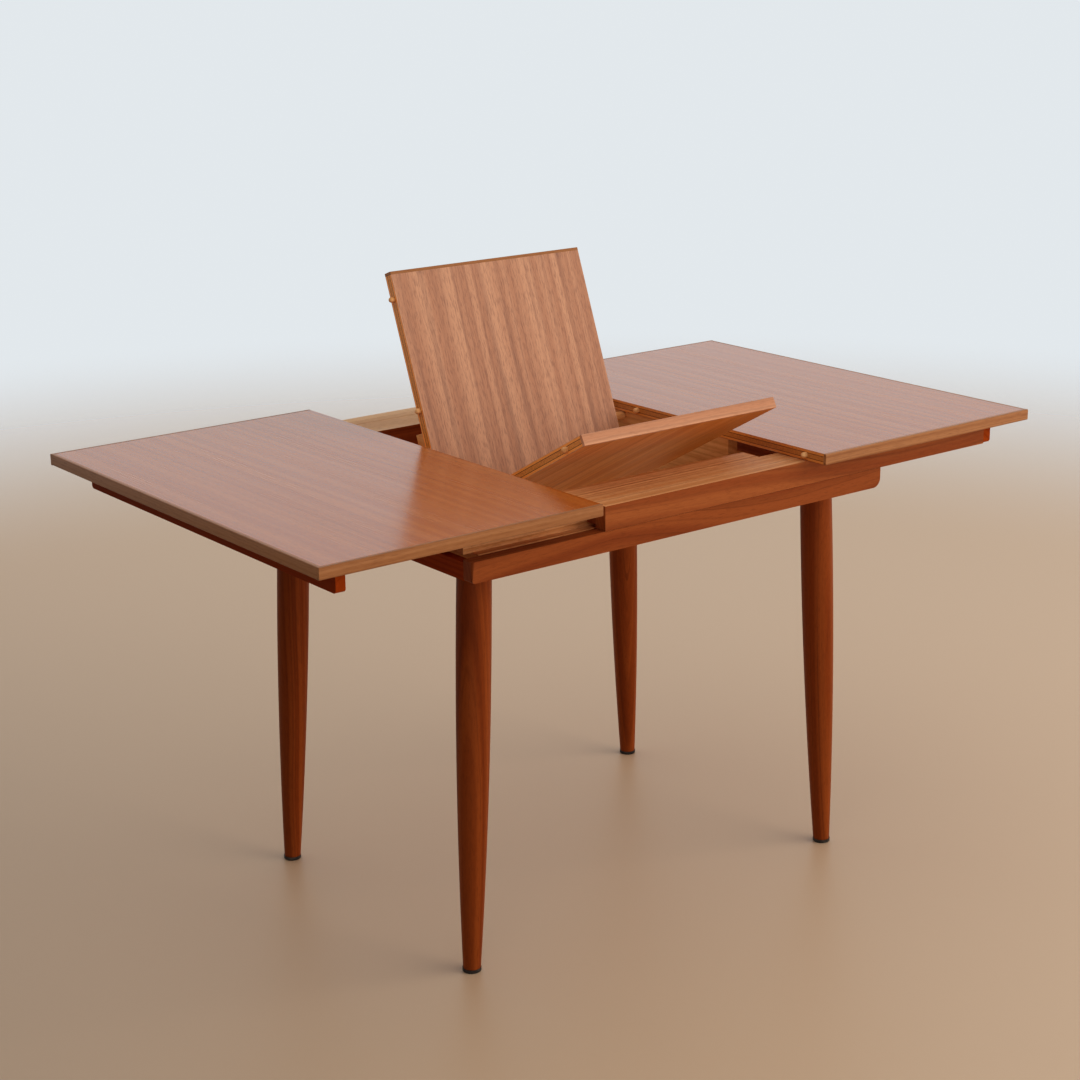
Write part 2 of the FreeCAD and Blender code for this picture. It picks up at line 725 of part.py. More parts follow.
def make_left_half():
    """Left half: veneered panel, lipping, runners, end rail, screws and dowel sockets."""
    gap = d["fit_gap"]
    inner = -d["left_draw"]
    outer = inner - d["top_length"]
    make_lipping("left", outer, inner)
    board_y = (d["lip_thick"] + gap - HALF_WIDE, HALF_WIDE - d["lip_thick"] - gap)
    panel = block("left_top_blank", (outer + d["lip_thick"] + gap, inner), board_y, (UNDER, TOP))
    cutters = []
    for index, y in enumerate((d["dowel_far"], d["dowel_leaf"], d["dowel_top"])):
        for name, side in SIDES.items():
            cutters.append(rod(f"left_socket_{name}{index}", d["socket_rad"], d["socket_deep"],
                               (inner, mirror(side, y), DOWEL_Z), "-x"))
    screws, holes = runner_screws("left", LEFT_SCREW_X, RUNNER_IN + d["runner_screw_in"],
                                  UNDER - d["runner_deep"])
    keep(carve("left_top_panel", panel, cutters + holes["panel"]), "left_top_panel")
    for name, side in SIDES.items():
        make_runner(name, side, holes[name])
    end_x = (-d["left_end"], d["end_thick"] - d["left_end"])
    make_end_rail("left", end_x)
    keep(gather("left_top_screws", screws), "left_top_screws")


def runner_screws(half, stations, y_mid, mouth):
    """Screws from a runner or slide board up into the top, and the holes they need."""
    low = mouth + d["top_screw_in"]
    tip = TOP - d["top_screw_in"]
    screws = []
    holes = {"panel": [], "front": [], "back": []}
    for name, side in SIDES.items():
        for index, x in enumerate(stations):
            tag = f"{half}_{name}{index}"
            y = mirror(side, y_mid)
            screws.append(screw_up(tag + "_screw", x, y, low, tip - low))
            holes[name].append(screw_hole(tag + "_hole", x, y, low, tip - low, mouth))
            holes["panel"].append(rod(tag + "_pilot", d["screw_rad"] + d["fit_gap"],
                                      tip + d["fit_gap"] - UNDER, (x, y, UNDER)))
    return screws, holes


def pass_relief(name, side, start, end):
    """The sliver off the top of a board where the other half passes over it."""
    return block(name + "_relief", (start, end), span(side, RUNNER_IN - BEYOND, RAIL_IN + BEYOND),
                 (UNDER - d["pass_gap"], UNDER + BEYOND))


def make_runner(name, side, holes):
    """Runner of the left half, with a groove for the guide's inner tongue."""
    low = UNDER - d["runner_deep"]
    gap = d["slide_gap"]
    deep = RUNNER_OUT - d["tongue_out"]
    points = (
        (RUNNER_IN, low), (RUNNER_OUT, low), (RUNNER_OUT, TONGUE_LOW - gap),
        (deep, TONGUE_LOW - gap), (deep, TONGUE_HIGH + gap),
        (RUNNER_OUT, TONGUE_HIGH + gap), (RUNNER_OUT, UNDER), (RUNNER_IN, UNDER),
    )
    outline = [(mirror(side, y), z) for y, z in points]
    body = extrude(f"left_runner_{name}_blank", "yz", outline,
                   d["end_thick"] - d["left_end"] + d["fit_gap"], d["runner_stop"])
    relief = pass_relief(f"left_runner_{name}", side, -d["left_draw"], d["runner_stop"] + BEYOND)
    keep(carve(f"left_runner_{name}", body, holes + [relief]), f"left_runner_{name}")


def make_end_rail(half, x):
    """The cross rail under the outer end of one half, its lower corners rounded."""
    outline = ((-RAIL_OUT, UPPER_LOW), (RAIL_OUT, UPPER_LOW), (RAIL_OUT, UNDER), (-RAIL_OUT, UNDER))
    body = extrude(f"{half}_end_rail", "yz", outline, *x)
    for name, side in SIDES.items():
        round_body(body, f"{half}_end_nose_{name}", d["end_nose"],
                   along("x", y=mirror(side, RAIL_OUT), z=UPPER_LOW))
    keep(body, f"{half}_end_rail")


def make_right_half():
    """Right half: panel, lipping, upper rails, slide boards, end rail, screws and dowels."""
    gap = d["fit_gap"]
    inner = d["right_draw"]
    outer = inner + d["top_length"]
    make_lipping("right", outer, inner)
    board_y = (d["lip_thick"] + gap - HALF_WIDE, HALF_WIDE - d["lip_thick"] - gap)
    panel = block("right_top_blank", (inner, outer - d["lip_thick"] - gap), board_y, (UNDER, TOP))
    cutters = []
    dowels = []
    for index, y in enumerate((d["dowel_far"], d["dowel_top"])):
        for name, side in SIDES.items():
            at = (inner, mirror(side, y), DOWEL_Z)
            cutters.append(rod(f"right_socket_{name}{index}", d["dowel_rad"] + gap,
                               d["dowel_in"] + gap, at, "+x"))
            dowels.append(make_dowel(f"right_dowel_{name}{index}", at, -1))
    low = LOWER_TOP + d["slide_lift"]
    screws, holes = runner_screws("right", RIGHT_SCREW_X, SLIDE_IN + d["slide_screw_in"], low)
    keep(carve("right_top_panel", panel, cutters + holes["panel"]), "right_top_panel")
    keep(gather("right_dowels", dowels), "right_dowels")
    keep(gather("right_top_screws", screws), "right_top_screws")
    stop = d["right_end"] - d["end_thick"] - gap
    for name, side in SIDES.items():
        make_upper_rail(name, side, stop)
        make_slide_board(name, side, low, stop, holes[name])
    make_end_rail("right", (d["right_end"] - d["end_thick"], d["right_end"]))


def make_upper_rail(name, side, stop):
    """Long teak rail of the right half, seen above the lower rail."""
    outline = (
        (-d["rail_start"], UPPER_LOW), (stop, UPPER_LOW), (stop, UNDER), (d["right_draw"], UNDER),
        (d["right_draw"], UNDER - d["pass_gap"]), (-d["rail_start"], UNDER - d["pass_gap"]),
    )
    y = span(side, RAIL_IN + d["fit_gap"], RAIL_OUT)
    body = extrude(f"right_rail_{name}", "xz", outline, *y)
    keep(body, f"right_rail_{name}")


def make_slide_board(name, side, low, stop, holes):
    """Slide board behind an upper rail, grooved for the guide's outer tongue."""
    gap = d["slide_gap"]
    deep = SLIDE_IN + d["tongue_out"]
    points = (
        (RAIL_IN, low), (SLIDE_IN, low), (SLIDE_IN, TONGUE_LOW - gap), (deep, TONGUE_LOW - gap),
        (deep, TONGUE_HIGH + gap), (SLIDE_IN, TONGUE_HIGH + gap), (SLIDE_IN, UNDER), (RAIL_IN, UNDER),
    )
    outline = [(mirror(side, y), z) for y, z in points]
    body = extrude(f"right_slide_{name}_blank", "yz", outline, -d["rail_start"], stop)
    relief = pass_relief(f"right_slide_{name}", side, -d["rail_start"] - BEYOND, d["right_draw"])
    keep(carve(f"right_slide_{name}", body, holes + [relief]), f"right_slide_{name}")


def make_dowel(name, at, way):
    """A ball-ended dowel across an edge at x, its ball end pointing along the given X way."""
    x, y, z = at
    turn = {1: "+x", -1: "-x"}[way]
    ball_at = d["dowel_out"] - d["dowel_rad"]
    stem = rod(name + "_stem", d["dowel_rad"], d["dowel_in"] + ball_at,
               (x - way * d["dowel_in"], y, z), turn)
    end = ball(name + "_ball", d["dowel_rad"], (x + way * ball_at, y, z))
    return join(name, [stem, end])


# ---------------------------------------------------------------- centre leaf

def cosine(angle):
    """Cosine of an angle in degrees."""
    return Size(math.cos(math.radians(angle.value)), f"cos({angle.text} * 1deg)")


def sine(angle):
    """Sine of an angle in degrees."""
    return Size(math.sin(math.radians(angle.value)), f"sin({angle.text} * 1deg)")


def hinge_line():
    """Where the hinge axis comes when the rear panel swings up about its pivot."""
    back = d["pivot_back"]
    rise = d["pivot_drop"] + d["hinge_lift"]
    tilt = d["back_tilt"]
    y = back - back * cosine(tilt) - rise * sine(tilt)
    z = TOP - d["pivot_drop"] - back * sine(tilt) + rise * cosine(tilt)
    return y, z


def swing(item, angle):
    """Carry a piece drawn about the hinge axis to its place in the open leaf."""
    y, z = hinge_line()
    item.Placement = Placement(Vector(), Rotation(Vector(1, 0, 0), angle.value))
    item.setExpression("Placement.Rotation.Angle", angle.text)
    return place(item, 0, y, z)


def finish_leaf(item, label, angle):
    """Swing a leaf piece into place and list it."""
    return keep(swing(item, angle), label)


FACE = -d["hinge_lift"]
BELLY = FACE - d["leaf_thick"]
LEAF_DOWEL_Z = FACE - d["top_thick"] / 2
HINGE_STATIONS = (-1, 0, 1)
HINGE_SEGMENTS = 5
HINGE_SCREW_Z = FACE - d["hinge_deep"] * 0.6
HINGE_ROOM = 0.4
KNUCKLE_END = 0.1
OUTWARD = {-1: "-y", 1: "+y"}


def knuckle_notches(tag, side):
    """Room for the three hinges in the meeting edge of a panel."""
    cutters = []
    gap = d["fit_gap"]
    for index, station in enumerate(HINGE_STATIONS):
        middle = station * d["hinge_pitch"]
        reach = d["hinge_long"] / 2 + HINGE_ROOM
        y = span(side, 0, d["hinge_gap"] + d["hinge_plate"] + gap)
        seat = block(f"{tag}_seat{index}", (middle - reach, middle + reach), y,
                     (FACE - d["hinge_deep"] - gap, BEYOND))
        room = rod(f"{tag}_room{index}", d["knuckle_rad"] + HINGE_ROOM, 2 * reach,
                   (middle - reach, 0, 0), "+x")
        holes = []
        for number, x in enumerate(hinge_screw_stations(middle)):
            holes.append(rod(f"{tag}_pilot{index}{number}", d["hinge_screw_rad"] + gap,
                             d["hinge_screw_long"] + BEYOND, (x, 0, HINGE_SCREW_Z), OUTWARD[side]))
        cutters.append(join(f"{tag}_notch{index}", [seat, room] + holes))
    return cutters


def hinge_screw_stations(middle):
    """The two screws of a hinge leaf."""
    offset = d["hinge_long"] * 0.3
    return (middle - offset, middle + offset)


def make_panel(name, side, angle, extra):
    """One leaf panel with its free-edge lipping, sockets on the right and dowels on the left."""
    gap = d["fit_gap"]
    thick = d["lip_thick"]
    y = span(side, d["hinge_gap"], d["leaf_half"] - thick - gap)
    blank = block(f"leaf_{name}_blank", (-LEAF_X, LEAF_X), y, (BELLY, FACE))
    cutters = knuckle_notches(f"leaf_{name}", side) + extra
    dowels = []
    for index, reach in enumerate((d["dowel_far"], d["dowel_top"])):
        cutters.append(rod(f"leaf_{name}_socket{index}", d["socket_rad"], d["socket_deep"],
                           (LEAF_X, mirror(side, reach), LEAF_DOWEL_Z), "-x"))
    for index, reach in enumerate((d["dowel_far"], d["dowel_leaf"])):
        at = (-LEAF_X, mirror(side, reach), LEAF_DOWEL_Z)
        cutters.append(rod(f"leaf_{name}_bore{index}", d["dowel_rad"] + gap, d["dowel_in"] + gap,
                           at, "+x"))
        dowels.append(make_dowel(f"leaf_{name}_dowel{index}", at, -1))
    finish_leaf(carve(f"leaf_{name}_panel", blank, cutters), f"leaf_{name}_panel", angle)
    strip = block(f"leaf_{name}_strip", (-LEAF_X, LEAF_X),
                  span(side, d["leaf_half"] - thick, d["leaf_half"]), (BELLY, FACE))
    edge_y = mirror(side, d["leaf_half"])
    eased = soften(f"leaf_{name}_lipping", strip, d["leaf_ease"], along("x", y=edge_y))
    finish_leaf(eased, f"leaf_{name}_lipping", angle)
    finish_leaf(gather(f"leaf_{name}_dowels", dowels), f"leaf_{name}_dowels", angle)


def make_hinges(name, side, angle, segments):
    """Three brass hinge leaves with their knuckles on the given segments, and their screws."""
    plates = []
    screws = []
    gap = d["fit_gap"]
    part = d["hinge_long"] / HINGE_SEGMENTS
    for index, station in enumerate(HINGE_STATIONS):
        tag = f"hinge_{name}{index}"
        middle = station * d["hinge_pitch"]
        start = middle - d["hinge_long"] / 2
        y = span(side, d["hinge_gap"], d["hinge_gap"] + d["hinge_plate"])
        clear = -(d["knuckle_rad"] + HINGE_ROOM)
        pieces = [block(tag + "_flap", (start, start + d["hinge_long"]), y,
                        (FACE - d["hinge_deep"], clear))]
        for segment in segments:
            x = (start + segment * part + KNUCKLE_END, start + (segment + 1) * part - KNUCKLE_END)
            pieces.append(block(f"{tag}_web{segment}", x, y, (clear, 0)))
            pieces.append(rod(f"{tag}_barrel{segment}", d["knuckle_rad"], x[1] - x[0],
                              (x[0], 0, 0), "+x"))
        solid = join(tag + "_solid", pieces)
        bore = rod(tag + "_bore", d["pin_rad"] + gap, d["hinge_long"] + 2 * BEYOND,
                   (start - BEYOND, 0, 0), "+x")
        holes = [bore]
        for number, x in enumerate(hinge_screw_stations(middle)):
            holes.append(rod(f"{tag}_hole{number}", d["hinge_screw_rad"] + gap,
                             d["hinge_plate"] + 2 * BEYOND, (x, 0, HINGE_SCREW_Z), OUTWARD[side]))
            screws.append(rod(f"{tag}_screw{number}", d["hinge_screw_rad"], d["hinge_screw_long"],
                              (x, mirror(side, d["hinge_gap"]), HINGE_SCREW_Z), OUTWARD[side]))
        plates.append(carve(tag, solid, holes))
    finish_leaf(gather(f"hinge_leaves_{name}", plates), f"hinge_leaves_{name}", angle)
    finish_leaf(gather(f"hinge_screws_{name}", screws), f"hinge_screws_{name}", angle)


def make_hinge_pins(angle):
    """Pins through the knuckles."""
    pins = []
    for index, station in enumerate(HINGE_STATIONS):
        start = station * d["hinge_pitch"] - d["hinge_long"] / 2
        pins.append(rod(f"hinge_pin{index}", d["pin_rad"], d["hinge_long"], (start, 0, 0), "+x"))
    finish_leaf(gather("hinge_pins", pins), "hinge_pins", angle)


def pivot_screws(tag, end):
    """The two screws of a pivot block, the holes they need in it and in the panel."""
    low = BELLY - d["block_deep"] + d["block_screw_up"]
    long = d["block_screw_long"]
    pilot_low = BELLY - d["fit_gap"]
    screws = []
    block_holes = []
    panel_holes = []
    for index, way in enumerate((-1, 1)):
        x = mirror(end, LEAF_X - d["block_thick"] / 2)
        y = d["pivot_back"] + way * d["block_screw_out"]
        name = f"{tag}{index}"
        screws.append(screw_up(name + "_screw", x, y, low, long))
        block_holes.append(screw_hole(name + "_hole", x, y, low, long, BELLY - d["block_deep"]))
        panel_holes.append(rod(name + "_pilot", d["screw_rad"] + d["fit_gap"],
                               low + long + BEYOND - pilot_low, (x, y, pilot_low)))
    return screws, block_holes, panel_holes


def make_pivots(angle):
    """Pivot blocks under the rear panel with their wooden pins and screws."""
    gap = d["fit_gap"]
    axis_z = FACE - d["pivot_drop"]
    pins = []
    screws = []
    holes = []
    for name, end in ENDS.items():
        y = (d["pivot_back"] - d["block_long"] / 2, d["pivot_back"] + d["block_long"] / 2)
        blank = block(f"pivot_{name}_blank", span(end, LEAF_X - d["block_thick"], LEAF_X), y,
                      (BELLY - d["block_deep"], BELLY - gap))
        start = (mirror(end, LEAF_X - d["block_thick"]), d["pivot_back"], axis_z)
        way = "+x" if end > 0 else "-x"
        eye = rod(f"pivot_{name}_eye", d["trunnion_rad"] + gap, d["block_thick"], start, way)
        long = CHEEK_OUT - BEYOND - LEAF_X + d["block_thick"]
        pins.append(rod(f"trunnion_{name}", d["trunnion_rad"], long, start, way))
        fixings, block_holes, panel_holes = pivot_screws(f"pivot_{name}", end)
        screws += fixings
        holes += panel_holes
        finish_leaf(carve(f"pivot_block_{name}", blank, [eye] + block_holes),
                    f"pivot_block_{name}", angle)
    finish_leaf(gather("pivot_pins", pins), "pivot_pins", angle)
    finish_leaf(gather("pivot_screws", screws), "pivot_screws", angle)
    return holes


def make_leaf():
    """The hinged centre leaf, rear panel steep and front panel folding towards it."""
    rear = d["back_tilt"]
    front = -d["front_tilt"]
    make_panel("back", 1, rear, make_pivots(rear))
    make_panel("front", -1, front, [])
    make_hinges("back", 1, rear, (0, 2, 4))
    make_hinges("front", -1, front, (1, 3))
    make_hinge_pins(rear)


# ---------------------------------------------------------------- checks and export

def check_document():
    """Stop if any object failed or any sub-part is not a valid solid shape."""
    for item in doc.Objects:
        if {"Invalid", "Error"} & set(item.State):
            raise RuntimeError(f"{item.Label} failed: {item.State}")
    for item in sub_parts:
        shape = item.Shape
        if shape.isNull() or not shape.isValid() or not shape.Solids:
            raise RuntimeError(f"{item.Label} has no valid solid")


def export_parts():
    """Write one STEP file for each sub-part."""
    os.makedirs("parts", exist_ok=True)
    for item in sub_parts:
        item.Shape.exportStep(os.path.join("parts", item.Label + ".step"))


make_base_rails()
make_base_ends()
make_guides()
make_end_blocks()
make_leg_bearers()
make_leaf_bearers()
make_legs()
make_left_half()
make_right_half()
make_leaf()
doc.recompute()
check_document()
export_parts()
print(len(sub_parts), "sub-parts written")
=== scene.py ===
import json
import math

import bmesh
import bpy
from mathutils import Matrix, Vector

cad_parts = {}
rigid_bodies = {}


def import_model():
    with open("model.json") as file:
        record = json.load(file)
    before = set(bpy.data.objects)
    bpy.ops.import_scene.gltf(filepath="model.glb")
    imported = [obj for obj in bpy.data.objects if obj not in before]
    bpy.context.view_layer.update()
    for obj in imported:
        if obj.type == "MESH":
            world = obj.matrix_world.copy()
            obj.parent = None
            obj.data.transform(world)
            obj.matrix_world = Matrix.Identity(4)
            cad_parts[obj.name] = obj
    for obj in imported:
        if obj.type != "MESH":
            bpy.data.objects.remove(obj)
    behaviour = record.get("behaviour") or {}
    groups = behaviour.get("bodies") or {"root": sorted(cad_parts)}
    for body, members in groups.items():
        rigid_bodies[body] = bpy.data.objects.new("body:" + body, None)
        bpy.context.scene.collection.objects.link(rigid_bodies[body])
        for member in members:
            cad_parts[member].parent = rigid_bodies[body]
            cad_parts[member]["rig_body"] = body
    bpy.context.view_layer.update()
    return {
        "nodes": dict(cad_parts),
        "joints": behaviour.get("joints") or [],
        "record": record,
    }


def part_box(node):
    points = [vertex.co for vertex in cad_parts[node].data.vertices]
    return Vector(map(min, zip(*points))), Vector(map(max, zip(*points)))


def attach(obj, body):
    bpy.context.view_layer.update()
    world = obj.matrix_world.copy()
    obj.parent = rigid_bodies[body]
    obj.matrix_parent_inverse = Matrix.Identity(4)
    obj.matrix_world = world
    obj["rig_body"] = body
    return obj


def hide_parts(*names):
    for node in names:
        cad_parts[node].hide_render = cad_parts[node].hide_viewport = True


# An extension table with a butterfly leaf.  Metres, +Z up, the origin on the floor under the
# middle of the legs.  Every piece keeps its place in its vertices, so Object coordinates are the
# table's own coordinates at rest, and a grain pattern moves with its piece.

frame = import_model()
NODES = frame["nodes"]
JOINTS = {joint["name"]: joint for joint in frame["joints"]}
PIVOT = JOINTS["leaf_pivot"]
FOLD = JOINTS["leaf_fold"]
REAR_TILT = math.radians(-PIVOT["range_deg"][0])
FRONT_TILT = math.radians(-FOLD["range_deg"][0]) - REAR_TILT
HINGE_LINE = Vector(FOLD["pos_m"])
TOP_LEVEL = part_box("left_top_panel")[1].z
TOP_THICK = TOP_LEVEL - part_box("left_top_panel")[0].z
SLOTS = {part["node"]: part["material_slot"] for part in frame["record"]["subparts"]}

# A veneered board's layers, from its face inwards.
LEAF_THICK = 0.0176
VENEER = 0.0007
OUTER_PLY = 0.0050
GLUE_LINE = 0.00045

# How far the pieces' long edges are rounded, and which edges count as long and sharp.
EASE_TOP = 0.0009
EASE_RAIL = 0.0005
EASE_BOARD = 0.0008
EASE_SMALL = 0.0005
CORNER_RADIUS = 0.004
EASE_STEPS = 3
CORNER_STEPS = 5
SHORT_EDGE = 0.0022
CREASE = math.radians(38)
FLAT = math.radians(0.4)
SAME_POINT = 1e-6
TINY = 0.0001

# A face looks in a direction when the cosine of the angle between them is more than this.
FACING = 0.72
LEFTWARDS = Vector((-1.0, 0.0, 0.0))
DOWNWARDS = Vector((0.0, 0.0, -1.0))

# Wood colours, each a dark, a middle and a light tone.
TOP_TONES = ((0.25, 0.060, 0.012), (0.395, 0.097, 0.015), (0.46, 0.132, 0.026))
EDGE_TONES = ((0.16, 0.050, 0.016), (0.31, 0.122, 0.044), (0.40, 0.175, 0.072))
LIP_TONES = ((0.26, 0.110, 0.060), (0.51, 0.225, 0.118), (0.63, 0.305, 0.170))
# The leaf face's tones are lighter and greyer than its wood: a painted sheen, in place of the window's
# reflection, which the lamp doesn't give.
LEAF_SHEEN_TONES = ((0.23, 0.102, 0.064), (0.47, 0.215, 0.118), (0.60, 0.300, 0.170))
UNDER_TONES = ((0.32, 0.100, 0.020), (0.53, 0.180, 0.042), (0.64, 0.255, 0.072))
RAIL_TONES = ((0.14, 0.030, 0.007), (0.265, 0.064, 0.016), (0.34, 0.098, 0.027))
BASE_TONES = ((0.12, 0.025, 0.005), (0.22, 0.048, 0.011), (0.29, 0.074, 0.018))
LEG_TONES = ((0.11, 0.019, 0.003), (0.212, 0.041, 0.006), (0.275, 0.062, 0.011))
END_TONES = ((0.16, 0.023, 0.002), (0.285, 0.041, 0.004), (0.35, 0.060, 0.007))
PALE_TONES = ((0.36, 0.150, 0.055), (0.62, 0.335, 0.155), (0.74, 0.46, 0.25))
WARM_TONES = ((0.30, 0.095, 0.026), (0.56, 0.225, 0.078), (0.68, 0.33, 0.145))
BEARER_TONES = ((0.38, 0.140, 0.042), (0.58, 0.250, 0.085), (0.68, 0.330, 0.130))
DOWEL_TONES = ((0.46, 0.18, 0.055), (0.70, 0.33, 0.125), (0.78, 0.43, 0.19))
BOARD_TONES = {"front": WARM_TONES, "back": PALE_TONES}
TOP_CORE = (0.56, 0.205, 0.050)
LEAF_CORE = (0.74, 0.290, 0.072)
GLUE = (0.10, 0.030, 0.008)

# Other colours.
MOULDED_DARK = (0.018, 0.014, 0.012)
MOULDED_DUSTY = (0.075, 0.06, 0.048)
STEEL = (0.56, 0.55, 0.53)
STEEL_DULL = (0.34, 0.32, 0.30)
BRASS = (0.72, 0.50, 0.22)
BRASS_DULL = (0.36, 0.22, 0.09)
FLOOR_TONE = (0.565, 0.382, 0.243)
CARD_DARK = (0.020, 0.018, 0.016)
CARD_LIGHT = (0.035, 0.032, 0.030)
SURROUND_TONE = (0.650, 0.685, 0.710)
WINDOW_TONE = (1.0, 0.985, 0.96)

# The stage: a round floor that fades out, a window light and a shading card.
FLOOR_RADIUS = 7.0
FADE_START = 2.1
FADE_END = 4.8
WINDOW_PLACE = Vector((3.0, -3.6, 2.0))
WINDOW_AIM = Vector((0.0, 0.0, 0.7))
WINDOW_WIDE = 4.4
WINDOW_TALL = 3.4
WINDOW_WATTS = 118.0
CARD_PLACE = (-1.55, 0.9, 0.58)
CARD_TALL = 1.2
CARD_LONG = 3.6

# The camera: where it stands, how it is turned, and its lens and sensor in millimetres.
CAMERA_PLACE = Vector((-2.122, -2.695, 1.580))
CAMERA_YAW = math.radians(37.77)
CAMERA_PITCH = math.radians(16.52)
CAMERA_ROLL = math.radians(-0.60)
LENS = 71.3
SENSOR = 36.0


# ---------------------------------------------------------------- shader helpers

def new_tree(name):
    """Return a new material and its cleared node tree."""
    material = bpy.data.materials.new(name)
    material.use_nodes = True
    material.node_tree.nodes.clear()
    return material, material.node_tree


def add(tree, kind, values=None, **settings):
    """Add a node; a value is a number, a colour or another node's output."""
    made = tree.nodes.new(kind)
    for name, value in settings.items():
        setattr(made, name, value)
    for socket, value in (values or {}).items():
        if isinstance(value, bpy.types.NodeSocket):
            tree.links.new(value, made.inputs[socket])
        else:
            made.inputs[socket].default_value = value
    return made


def calc(tree, operation, first, second=0.0, third=0.0):
    """Return the output of a Math node."""
    return add(tree, "ShaderNodeMath", {0: first, 1: second, 2: third}, operation=operation).outputs[0]


def spread(tree, value, low, high, to_low=0.0, to_high=1.0):
    """Return value mapped smoothly from low..high to to_low..to_high."""
    made = add(tree, "ShaderNodeMapRange", {0: value, 1: low, 2: high, 3: to_low, 4: to_high},
               interpolation_type="SMOOTHSTEP")
    return made.outputs[0]


def blend(tree, share, first, second):
    """Return the colour that is mixed from the first and this share of the second."""
    return add(tree, "ShaderNodeMix", {0: share, 6: first, 7: second}, data_type="RGBA").outputs[2]


def noise(tree, coords, stretch, detail=2.0, rough=0.5, shift=0.0):
    """Return smooth noise of coordinates stretched by (along, across, deep)."""
    placed = add(tree, "ShaderNodeMapping", {0: coords, 1: (shift, shift, shift), 3: stretch})
    made = add(tree, "ShaderNodeTexNoise", {0: placed.outputs[0], "Detail": detail, "Roughness": rough,
                                            "Scale": 1.0})
    return made.outputs[0]


def rgba(colour):
    """Return a colour with full opacity."""
    return (*colour, 1.0)


# ---------------------------------------------------------------- wood

def along(direction, normal, origin=(0.0, 0.0, 0.0)):
    """Return the rotation and shift that turn table coordinates into grain coordinates."""
    lengthwise = Vector(direction).normalized()
    deep = Vector(normal).normalized()
    turn = Matrix((lengthwise, deep.cross(lengthwise), deep))
    return turn.to_euler("XYZ"), -(turn @ Vector(origin))


def leaf_grain(rises_back, tilt):
    """Return the grain frame of a leaf panel: depth is measured down from its face."""
    back = 1.0 if rises_back else -1.0
    lengthwise = Vector((0.0, back * math.cos(tilt), math.sin(tilt)))
    normal = Vector((0.0, -back * math.sin(tilt), math.cos(tilt)))
    return along(lengthwise, normal, HINGE_LINE)


ALONG_X = along((1, 0, 0), (0, 0, 1))
ALONG_Y = along((0, 1, 0), (0, 0, 1))
ALONG_Z = along((0, 0, 1), (0, 1, 0))
ON_TOP = along((0, 1, 0), (0, 0, 1), (0.0, 0.0, TOP_LEVEL))
ON_REAR_LEAF = leaf_grain(True, REAR_TILT)
ON_FRONT_LEAF = leaf_grain(False, FRONT_TILT)


def ring_distance(tree, coords, pith, shift, arch):
    """Return the wavering distance from the tree's heart, which is what the growth rings follow."""
    across, deep = add(tree, "ShaderNodeSeparateXYZ", {0: coords}).outputs[1:]
    waver = calc(tree, "MULTIPLY_ADD", noise(tree, coords, (1.6, 3.0, 3.0), 2.0, shift=shift), 0.030, -0.015)
    side = calc(tree, "ADD", calc(tree, "SUBTRACT", across, pith[0]), waver)
    from_heart = add(tree, "ShaderNodeCombineXYZ", {1: side, 2: calc(tree, "SUBTRACT", deep, pith[1])})
    length = add(tree, "ShaderNodeVectorMath", {0: from_heart.outputs[0]}, operation="LENGTH")
    swing = noise(tree, coords, (0.9, 1.4, 1.4), 1.0, shift=shift + 7.0)
    bowed = calc(tree, "MULTIPLY_ADD", swing, arch, length.outputs["Value"])
    return calc(tree, "ADD", bowed, shift)


def stripes(tree, distance, pitch, detail, rough=0.5):
    """Return noise that changes with ring distance only."""
    made = add(tree, "ShaderNodeTexNoise", {"W": calc(tree, "MULTIPLY", distance, pitch), "Detail": detail,
                                            "Roughness": rough}, noise_dimensions="1D")
    return made.outputs[0]


